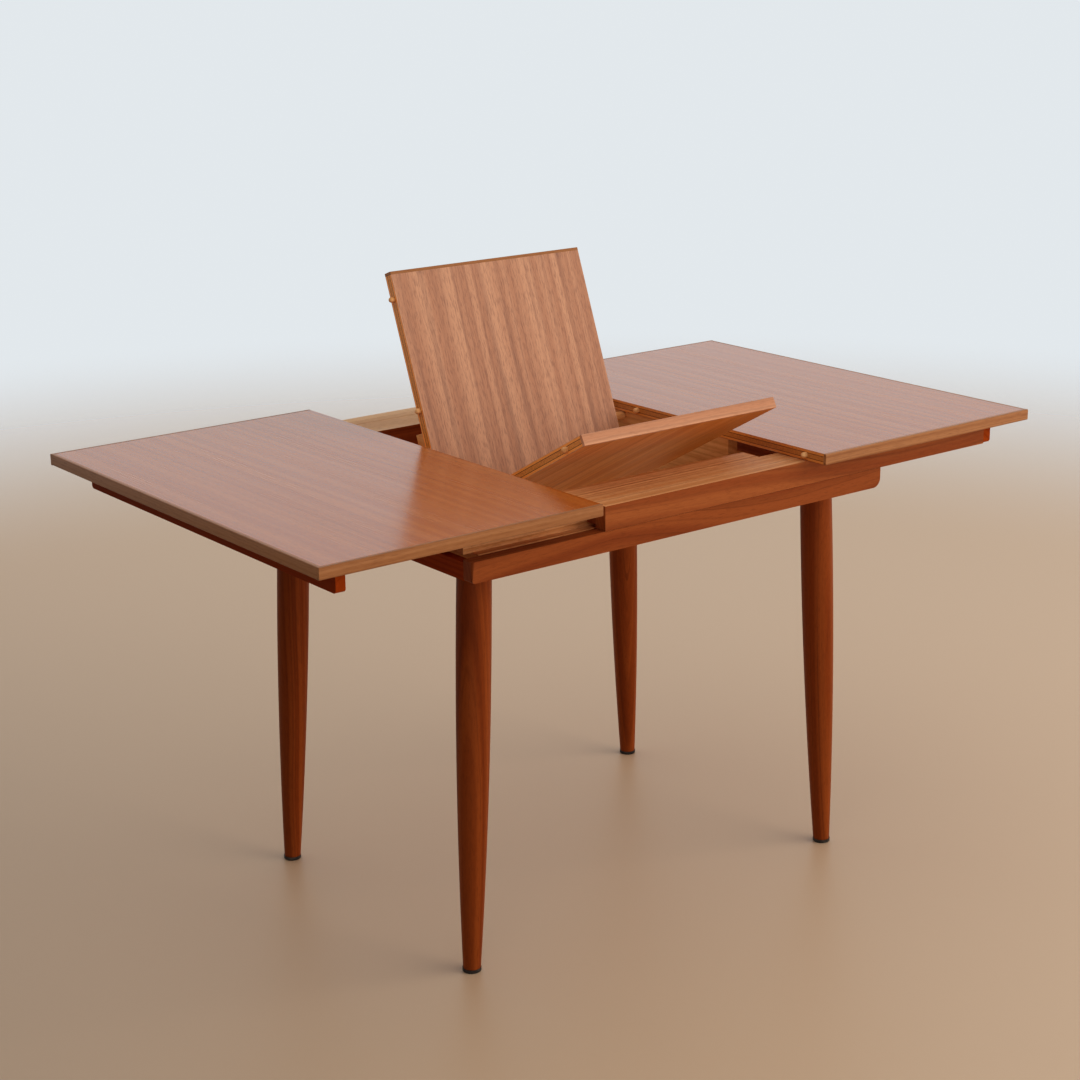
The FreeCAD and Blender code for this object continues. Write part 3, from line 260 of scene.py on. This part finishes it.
def wood(name, grain, tones, pith=(0.0, -0.4), shift=0.0, rings=90.0, figure=22.0, streaks=0.5, bands=0.35,
         flecks=0.15, gloss=0.3, coat=0.0, shine=0.12, layers=None, arch=0.012):
    """Make a wood.

    Grain is a frame from along(), tones are dark, middle and light, and pith is the place of the
    tree's heart across and deep.  Figure and rings set how close together the broad and the fine
    growth bands are, arch is how much they sway, and streaks, bands and flecks are how strongly
    each darkens the wood.  Layers are a veneered board's thickness, core and glue.
    """
    material, tree = new_tree(name)
    turn, place = grain
    table = add(tree, "ShaderNodeTexCoord").outputs["Object"]
    coords = add(tree, "ShaderNodeMapping", {0: table, 1: place, 2: turn}).outputs[0]
    distance = ring_distance(tree, coords, pith, shift, arch)

    # Growth bands, which follow the rings, then mottling and fibres, which follow the grain.
    broad = stripes(tree, distance, figure, 1.5)
    shade = stripes(tree, distance, figure * 2.3, 2.0)
    ring = stripes(tree, distance, rings, 3.0, 0.55)
    patchy = noise(tree, coords, (2.2, 26.0, 26.0), 3.0, 0.6, shift + 3.0)
    cloud = noise(tree, coords, (4.0, 11.0, 11.0), 2.0, 0.5, shift + 5.0)
    hair = noise(tree, coords, (9.0, 620.0, 620.0), 3.0, 0.6, shift + 11.0)
    pore = noise(tree, coords, (55.0, 1300.0, 1300.0), 1.0, 0.5, shift + 19.0)
    fleck = noise(tree, coords, (60.0, 420.0, 420.0), 2.0, 0.6, shift + 29.0)

    # The colour, from the broad figure down to the pores.
    dark, middle, light = (rgba(tone) for tone in tones)
    tone = blend(tree, spread(tree, broad, 0.34, 0.66), middle, light)
    clouded = spread(tree, cloud, 0.30, 0.65, 0.35, 1.0)
    dusk = calc(tree, "MULTIPLY", spread(tree, shade, 0.46, 0.70), clouded)
    tone = blend(tree, calc(tree, "MULTIPLY", dusk, bands), tone, dark)
    line = calc(tree, "MULTIPLY", spread(tree, ring, 0.61, 0.69), spread(tree, patchy, 0.42, 0.60, 0.0, 1.0))
    tone = blend(tree, calc(tree, "MULTIPLY", line, streaks), tone, dark)
    tone = blend(tree, calc(tree, "MULTIPLY", spread(tree, hair, 0.35, 0.70), 0.22), tone, light)
    tone = blend(tree, calc(tree, "MULTIPLY", spread(tree, fleck, 0.48, 0.66), flecks), tone, dark)
    pores = spread(tree, pore, 0.60, 0.72)
    tone = blend(tree, calc(tree, "MULTIPLY", pores, 0.40), tone, dark)
    if layers:
        tone = edge_layers(tree, coords, tone, *layers)
    worn = add(tree, "ShaderNodeAttribute", attribute_name="edge").outputs["Fac"]
    rub = calc(tree, "MULTIPLY", worn, spread(tree, patchy, 0.35, 0.65, 0.05, 0.35))
    tone = blend(tree, rub, tone, light)

    # The relief and the uneven gloss.
    height = calc(tree, "SUBTRACT", calc(tree, "MULTIPLY", hair, 0.35), pores)
    bump = add(tree, "ShaderNodeBump", {"Strength": 0.10, "Distance": 0.0004, "Height": height})
    uneven = calc(tree, "ADD", calc(tree, "MULTIPLY", hair, 0.5), calc(tree, "MULTIPLY", patchy, 0.5))
    rough = spread(tree, uneven, 0.25, 0.75, gloss * 0.82, gloss * 1.22)
    shader = add(tree, "ShaderNodeBsdfPrincipled", {
        "Base Color": tone, "Roughness": rough, "Specular IOR Level": shine, "Coat Weight": coat,
        "Coat Roughness": 0.16, "Normal": bump.outputs[0]})
    add(tree, "ShaderNodeOutputMaterial", {0: shader.outputs[0]})
    return material


def edge_layers(tree, coords, face, thick, core, glue):
    """Return the face's colour with the board's layers mixed in, which show where its edge is cut."""
    deep = add(tree, "ShaderNodeSeparateXYZ", {0: coords}).outputs[2]
    from_middle = calc(tree, "ABSOLUTE", calc(tree, "ADD", deep, thick / 2))
    ply_edge = thick / 2 - OUTER_PLY
    grainy = noise(tree, coords, (420.0, 30.0, 420.0), 3.0, 0.6)
    core_dark = rgba([part * 0.70 for part in core])
    core_light = rgba([min(1.0, part * 1.35) for part in core])
    inside = blend(tree, spread(tree, grainy, 0.35, 0.7), rgba(core), core_dark)
    ply = blend(tree, 0.65, inside, core_light)
    inside = blend(tree, calc(tree, "GREATER_THAN", from_middle, ply_edge), inside, ply)
    from_glue = calc(tree, "ABSOLUTE", calc(tree, "SUBTRACT", from_middle, ply_edge))
    inside = blend(tree, calc(tree, "LESS_THAN", from_glue, GLUE_LINE), inside, rgba(glue))
    return blend(tree, calc(tree, "GREATER_THAN", from_middle, thick / 2 - VENEER), inside, face)


def leaf_faces(name, grain, shift):
    """Make a leaf panel's wood: show face, whose tones carry a painted sheen, and layered edges."""
    return wood(name, grain, LEAF_SHEEN_TONES, pith=(0.9, -0.05), shift=shift, rings=150.0, figure=7.0,
                streaks=0.45, bands=0.50, flecks=0.42, gloss=0.38, coat=0.06, shine=0.3,
                layers=(LEAF_THICK, LEAF_CORE, GLUE), arch=0.02)


def leaf_under(name, grain, shift):
    """Make the plainer veneer under a leaf panel."""
    return wood(name, grain, UNDER_TONES, pith=(0.2, 0.35), shift=shift, rings=60.0, figure=14.0,
                streaks=0.22, bands=0.40, gloss=0.5, shine=0.08, arch=0.05)


def plastic(name):
    """Make the dark moulded plastic of the glides."""
    material, tree = new_tree(name)
    coords = add(tree, "ShaderNodeTexCoord").outputs["Object"]
    grain = noise(tree, coords, (900.0, 900.0, 900.0), 3.0, 0.6)
    dust = noise(tree, coords, (60.0, 60.0, 90.0), 3.0, 0.6)
    tone = blend(tree, spread(tree, dust, 0.45, 0.8), rgba(MOULDED_DARK), rgba(MOULDED_DUSTY))
    bump = add(tree, "ShaderNodeBump", {"Strength": 0.2, "Distance": 0.0003, "Height": grain})
    rough = spread(tree, grain, 0.2, 0.8, 0.38, 0.58)
    shader = add(tree, "ShaderNodeBsdfPrincipled", {
        "Base Color": tone, "Roughness": rough, "Normal": bump.outputs[0]})
    add(tree, "ShaderNodeOutputMaterial", {0: shader.outputs[0]})
    return material


def metal(name, tone, tarnish):
    """Make a plated or rolled metal with fine scratches and tarnish."""
    material, tree = new_tree(name)
    coords = add(tree, "ShaderNodeTexCoord").outputs["Object"]
    scratch = noise(tree, coords, (60.0, 2500.0, 2500.0), 2.0, 0.6)
    darkening = noise(tree, coords, (140.0, 140.0, 140.0), 4.0, 0.6)
    colour = blend(tree, spread(tree, darkening, 0.40, 0.75), rgba(tone), rgba(tarnish))
    bump = add(tree, "ShaderNodeBump", {"Strength": 0.08, "Distance": 0.0002, "Height": scratch})
    rough = spread(tree, calc(tree, "ADD", scratch, darkening), 0.6, 1.4, 0.24, 0.50)
    shader = add(tree, "ShaderNodeBsdfPrincipled", {
        "Base Color": colour, "Metallic": 1.0, "Roughness": rough, "Normal": bump.outputs[0]})
    add(tree, "ShaderNodeOutputMaterial", {0: shader.outputs[0]})
    return material


# ---------------------------------------------------------------- pieces

def left_corner(shape):
    """Return the upright edge at the outer left corner of a long rail's shape."""
    left = min(vertex.co.x for vertex in shape.verts)
    outer = max(abs(vertex.co.y) for vertex in shape.verts)
    return [edge for edge in shape.edges if edge.calc_length() > SHORT_EDGE and all(
        vertex.co.x - left < TINY and outer - abs(vertex.co.y) < TINY for vertex in edge.verts)]


def eased(node, ease, others, corner):
    """Return a copy of a CAD node's shape, its long sharp edges rounded off.

    Faces that look in one of the other directions take the second material.  The layer called
    edge marks the rounded strips, where the wood is a little worn.
    """
    shape = bmesh.new()
    shape.from_mesh(NODES[node].data)
    bmesh.ops.remove_doubles(shape, verts=shape.verts, dist=SAME_POINT)
    bmesh.ops.dissolve_limit(shape, angle_limit=FLAT, verts=shape.verts, edges=shape.edges)
    if corner:
        bmesh.ops.bevel(shape, geom=left_corner(shape), offset=corner, segments=CORNER_STEPS, profile=0.5,
                        affect="EDGES")
    sharp = [edge for edge in shape.edges if len(edge.link_faces) == 2
             and edge.calc_face_angle() > CREASE and edge.calc_length() > SHORT_EDGE]
    rounded = bmesh.ops.bevel(shape, geom=sharp, offset=ease, segments=EASE_STEPS, profile=0.5,
                              affect="EDGES", clamp_overlap=True)["faces"]
    edge_layer = shape.loops.layers.float.new("edge")
    for face in rounded:
        for loop in face.loops:
            loop[edge_layer] = 1.0
    for face in shape.faces:
        face.smooth = True
        face.material_index = int(any(face.normal.dot(way) > FACING for way in others))
    mesh = bpy.data.meshes.new(node + "_piece")
    shape.to_mesh(mesh)
    shape.free()
    mesh.set_sharp_from_angle(angle=CREASE)
    return mesh


def dress(node, material, ease, other=None, others=(), corner=0.0):
    """Show an eased copy of a node in its place, with one material or two."""
    piece = bpy.data.objects.new(node + "_piece", eased(node, ease, others, corner))
    bpy.context.scene.collection.objects.link(piece)
    piece.data.materials.append(material)
    if other:
        piece.data.materials.append(other)
    piece.modifiers.new("even_normals", "WEIGHTED_NORMAL").keep_sharp = True
    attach(piece, NODES[node]["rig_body"])
    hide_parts(node)


def paint(node, material):
    """Give a CAD node that is shown as it is a new material."""
    mesh = NODES[node].data
    for place in range(len(mesh.materials)):
        mesh.materials[place] = material
    if not mesh.materials:
        mesh.materials.append(material)


def dress_tops():
    """Dress both halves: veneered panels with solid lippings."""
    for place, side in enumerate(("left", "right")):
        veneer = wood(f"top_veneer_{side}", ON_TOP, TOP_TONES, pith=(1.4, 0.0), shift=2.0 + 5.0 * place,
                      rings=60.0, figure=10.0, streaks=0.08, bands=0.24, flecks=0.34, gloss=0.24, coat=0.45,
                      shine=0.5, layers=(TOP_THICK, TOP_CORE, GLUE), arch=0.02)
        dress(f"{side}_top_panel", veneer, EASE_TOP)
        for strip, grain in (("front", ALONG_X), ("back", ALONG_X), ("end", ALONG_Y)):
            edge = wood(f"lipping_{side}_{strip}", grain, EDGE_TONES, pith=(0.1, -0.3),
                        shift=len(strip) + place, rings=120.0, streaks=0.5, bands=0.3, gloss=0.32, coat=0.12)
            dress(f"{side}_lipping_{strip}", edge, EASE_TOP)


def dress_leaf():
    """Dress the two leaf panels and their lippings."""
    panels = (("back", ON_REAR_LEAF, REAR_TILT, 4.0, EDGE_TONES),
              ("front", ON_FRONT_LEAF, -FRONT_TILT, 9.0, LIP_TONES))
    for side, grain, tilt, shift, tones in panels:
        down = Matrix.Rotation(tilt, 3, "X") @ DOWNWARDS
        dress(f"leaf_{side}_panel", leaf_faces(f"leaf_veneer_and_sheen_{side}", grain, shift), EASE_SMALL,
              leaf_under(f"leaf_under_{side}", grain, shift), (down,))
        lipping = wood(f"leaf_lipping_{side}", ALONG_X, tones, pith=(0.1, -0.2), shift=shift + 1.0,
                       rings=110.0, streaks=0.4, gloss=0.36, coat=0.1)
        dress(f"leaf_{side}_lipping", lipping, EASE_TOP)


def dress_rails():
    """Dress the rails: long ones solid below, a teak face on a pale board above, and short ends."""
    for place, (side, outward) in enumerate((("front", -1.0), ("back", 1.0))):
        lower = wood(f"wood_base_rail_{side}", ALONG_X, BASE_TONES, pith=(-0.06, 0.60), shift=place * 1.7,
                     rings=85.0, figure=26.0, streaks=0.45, bands=0.40, gloss=0.42, arch=0.05)
        dress(f"base_rail_{side}", lower, EASE_RAIL, corner=CORNER_RADIUS)
        teak = wood(f"wood_right_rail_{side}", ALONG_X, RAIL_TONES, pith=(-0.06, 0.60),
                    shift=3.4 + place * 1.7, rings=85.0, figure=26.0, streaks=0.45, bands=0.40, gloss=0.42,
                    arch=0.05)
        board = wood(f"board_right_rail_{side}", ALONG_X, BOARD_TONES[side], pith=(0.3, -0.4),
                     shift=place + 0.6, rings=95.0, figure=30.0, streaks=0.5, bands=0.5, gloss=0.5)
        # The board's faces looking left and down take the darker teak too; on the left end this is painted
        # shade, as that end sits in shadow.
        dress(f"right_rail_{side}", board, EASE_RAIL, teak,
              (Vector((0.0, outward, 0.0)), LEFTWARDS, DOWNWARDS))
    ends = ("base_end_left", "base_end_right", "left_end_rail", "right_end_rail")
    for place, node in enumerate(ends):
        board = wood(f"wood_{node}", ALONG_Y, END_TONES, pith=(0.05, -0.25), shift=place * 2.3, gloss=0.45,
                     shine=0.03)
        dress(node, board, EASE_RAIL)


def dress_inner_boards():
    """Dress the guides, slides, runners, bearers and pivot blocks."""
    # Faces of the slides and runners that look left or inwards sit in shadow, so they take a dark wood:
    # painted shade.
    darkening = wood("painted_shade_inner_face", ALONG_X, BASE_TONES, pith=(0.3, -0.4), shift=8.0, gloss=0.5)
    for place, (side, inward) in enumerate((("front", 1.0), ("back", -1.0))):
        board = wood(f"inner_boards_{side}", ALONG_X, BOARD_TONES[side], pith=(0.3, -0.4),
                     shift=place * 1.3 + 0.4, rings=95.0, figure=30.0, streaks=0.5, bands=0.5, flecks=0.35,
                     gloss=0.5)
        dress(f"guide_rail_{side}", board, EASE_BOARD)
        dress(f"guide_block_{side}", board, EASE_SMALL)
        dress(f"right_slide_{side}", board, EASE_BOARD, darkening, (LEFTWARDS,))
        dress(f"left_runner_{side}", board, EASE_BOARD, darkening, (LEFTWARDS, Vector((0.0, inward, 0.0))))
    crosswise = [f"{kind}_{side}" for kind in ("leg_bearer", "leaf_bearer", "pivot_block")
                 for side in ("left", "right")]
    for place, node in enumerate(crosswise):
        board = wood(f"wood_{node}", ALONG_Y, BEARER_TONES, pith=(0.3, -0.4), shift=place * 1.3 + 5.0,
                     rings=95.0, figure=18.0, streaks=0.3, bands=0.4, gloss=0.5)
        dress(node, board, EASE_SMALL)


def dress_legs():
    """Dress the four turned legs and their glides."""
    legs = [name for name in sorted(NODES) if name.startswith(("leg_front_", "leg_back_"))]
    for place, node in enumerate(legs):
        turned = wood(f"wood_{node}", ALONG_Z, LEG_TONES, pith=(0.35, 0.22), shift=place * 3.1, rings=80.0,
                      streaks=0.45, bands=0.35, gloss=0.42, arch=0.03)
        dress(node, turned, EASE_SMALL)
    moulded = plastic("glide_plastic")
    for node in NODES:
        if node.startswith("glide_"):
            paint(node, moulded)


def dress_fittings():
    """Give the dowels, pins, screws, bolts, plates and hinges their materials."""
    dowel = wood("dowel_wood", ALONG_X, DOWEL_TONES, shift=6.0, rings=300.0, streaks=0.3, gloss=0.42)
    steel = metal("zinc_steel", STEEL, STEEL_DULL)
    brass = metal("hinge_brass", BRASS, BRASS_DULL)
    finishes = {"dowel": dowel, "steel": steel, "brass": brass}
    for node, slot in SLOTS.items():
        if slot in finishes:
            paint(node, finishes[slot])


# ---------------------------------------------------------------- floor, light and camera

def make_floor():
    """Lay a plain pale floor that fades into the backdrop far from the table."""
    bpy.ops.mesh.primitive_circle_add(vertices=96, radius=FLOOR_RADIUS, fill_type="NGON")
    floor = bpy.context.object
    floor.name = "floor"
    material, tree = new_tree("pale_floor")
    coords = add(tree, "ShaderNodeTexCoord").outputs["Object"]
    away = add(tree, "ShaderNodeVectorMath", {0: coords}, operation="LENGTH").outputs["Value"]
    shader = add(tree, "ShaderNodeBsdfPrincipled", {
        "Base Color": rgba(FLOOR_TONE), "Roughness": 0.42,
        "Alpha": spread(tree, away, FADE_START, FADE_END, 1.0, 0.0)})
    add(tree, "ShaderNodeOutputMaterial", {0: shader.outputs[0]})
    floor.data.materials.append(material)


def make_light():
    """Light the table with an even pale surround, a big soft window and a card that shades the left."""
    world = bpy.data.worlds.new("studio")
    bpy.context.scene.world = world
    world.use_nodes = True
    surround = world.node_tree.nodes["Background"]
    surround.inputs["Color"].default_value = rgba(SURROUND_TONE)
    surround.inputs["Strength"].default_value = 1.0
    add_window()
    add_card()


def add_window():
    """Add a soft rectangular light that faces the table and isn't mirrored in it."""
    light = bpy.data.lights.new("window", "AREA")
    light.shape = "RECTANGLE"
    light.size = WINDOW_WIDE
    light.size_y = WINDOW_TALL
    light.energy = WINDOW_WATTS
    light.color = WINDOW_TONE
    lamp = bpy.data.objects.new("window", light)
    bpy.context.scene.collection.objects.link(lamp)
    lamp.location = WINDOW_PLACE
    lamp.rotation_euler = (WINDOW_AIM - WINDOW_PLACE).to_track_quat("-Z", "Y").to_euler()
    lamp.visible_glossy = False


def add_card():
    """Stand a dark card on the left, hidden from the camera, that shades what faces it."""
    bpy.ops.mesh.primitive_plane_add(size=1.0, location=CARD_PLACE, rotation=(0.0, math.radians(90.0), 0.0))
    card = bpy.context.object
    card.name = "shade_card"
    card.scale = (CARD_TALL, CARD_LONG, 1.0)
    card.visible_camera = False
    card.visible_glossy = False
    material, tree = new_tree("dark_card")
    weave = noise(tree, add(tree, "ShaderNodeTexCoord").outputs["Object"], (90.0, 90.0, 90.0), 2.0)
    tone = blend(tree, weave, rgba(CARD_DARK), rgba(CARD_LIGHT))
    shader = add(tree, "ShaderNodeBsdfPrincipled", {"Base Color": tone, "Roughness": 0.9})
    add(tree, "ShaderNodeOutputMaterial", {0: shader.outputs[0]})
    card.data.materials.append(material)


def make_camera():
    """Place the camera where the picture was taken from."""
    level = Vector((math.cos(CAMERA_YAW), -math.sin(CAMERA_YAW), 0.0))
    ahead = Vector((math.sin(CAMERA_YAW) * math.cos(CAMERA_PITCH),
                    math.cos(CAMERA_YAW) * math.cos(CAMERA_PITCH), -math.sin(CAMERA_PITCH)))
    upright = level.cross(ahead)
    right = level * math.cos(CAMERA_ROLL) + upright * math.sin(CAMERA_ROLL)
    up = upright * math.cos(CAMERA_ROLL) - level * math.sin(CAMERA_ROLL)
    data = bpy.data.cameras.new("camera")
    data.lens = LENS
    data.sensor_width = SENSOR
    camera = bpy.data.objects.new("camera", data)
    bpy.context.scene.collection.objects.link(camera)
    turn = Matrix((right, up, -ahead)).transposed().to_4x4()
    camera.matrix_world = Matrix.Translation(CAMERA_PLACE) @ turn
    bpy.context.scene.camera = camera


dress_tops()
dress_leaf()
dress_rails()
dress_inner_boards()
dress_legs()
dress_fittings()
make_floor()
make_light()
make_camera()
bpy.context.scene.view_settings.view_transform = "Standard"
bpy.context.scene.view_settings.look = "Medium High Contrast"
